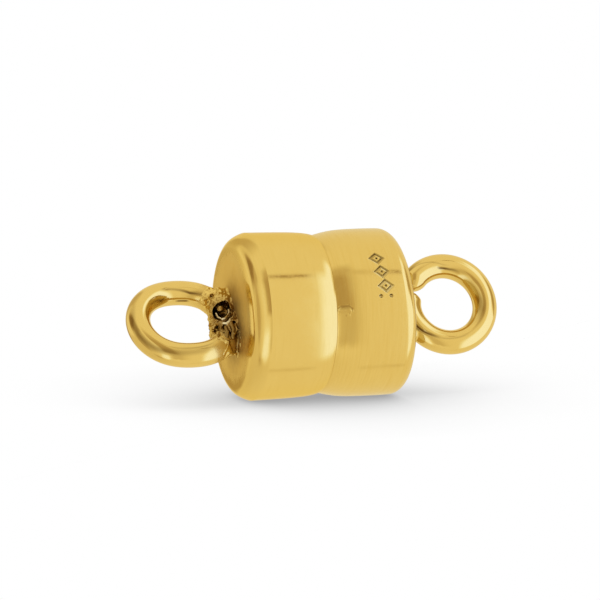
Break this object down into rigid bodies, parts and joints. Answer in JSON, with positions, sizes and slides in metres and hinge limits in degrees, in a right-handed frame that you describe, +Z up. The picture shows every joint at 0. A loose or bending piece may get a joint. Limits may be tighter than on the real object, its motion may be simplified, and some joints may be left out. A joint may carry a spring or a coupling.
{
  "type": "magnetic barrel clasp",
  "caption": "Small barrel clasp for a necklace: halves meet at a V groove, hold disc magnets and end in soldered wire rings. It pulls apart along its axis and swivels about it.",
  "frame": {"origin": "on the surface the clasp lies on, under the middle of the seam between its halves", "axes": "+X along the barrel towards the round ring, +Z up, so the pictured side faces -Y"},
  "size_m": [0.0138, 0.006, 0.006],
  "materials": {
    "gold_plate": "polished yellow gold plate on silver",
    "magnet_nickel": "bright nickel plate"
  },
  "bodies": {
    "left_side": {"left_half": "gold_plate", "left_magnet": "magnet_nickel"},
    "right_disc": {"right_magnet": "magnet_nickel"},
    "right_side": {"right_half": "gold_plate"}
  },
  "joints": [
    {"name": "pull_apart", "type": "slide", "parent": "left_side", "child": "right_disc", "axis": [1, 0, 0], "range_m": [0, 0.008]},
    {"name": "swivel", "type": "hinge", "parent": "right_disc", "child": "right_side", "pos_m": [0, 0, 0.003], "axis": [1, 0, 0], "continuous": true}
  ]
}
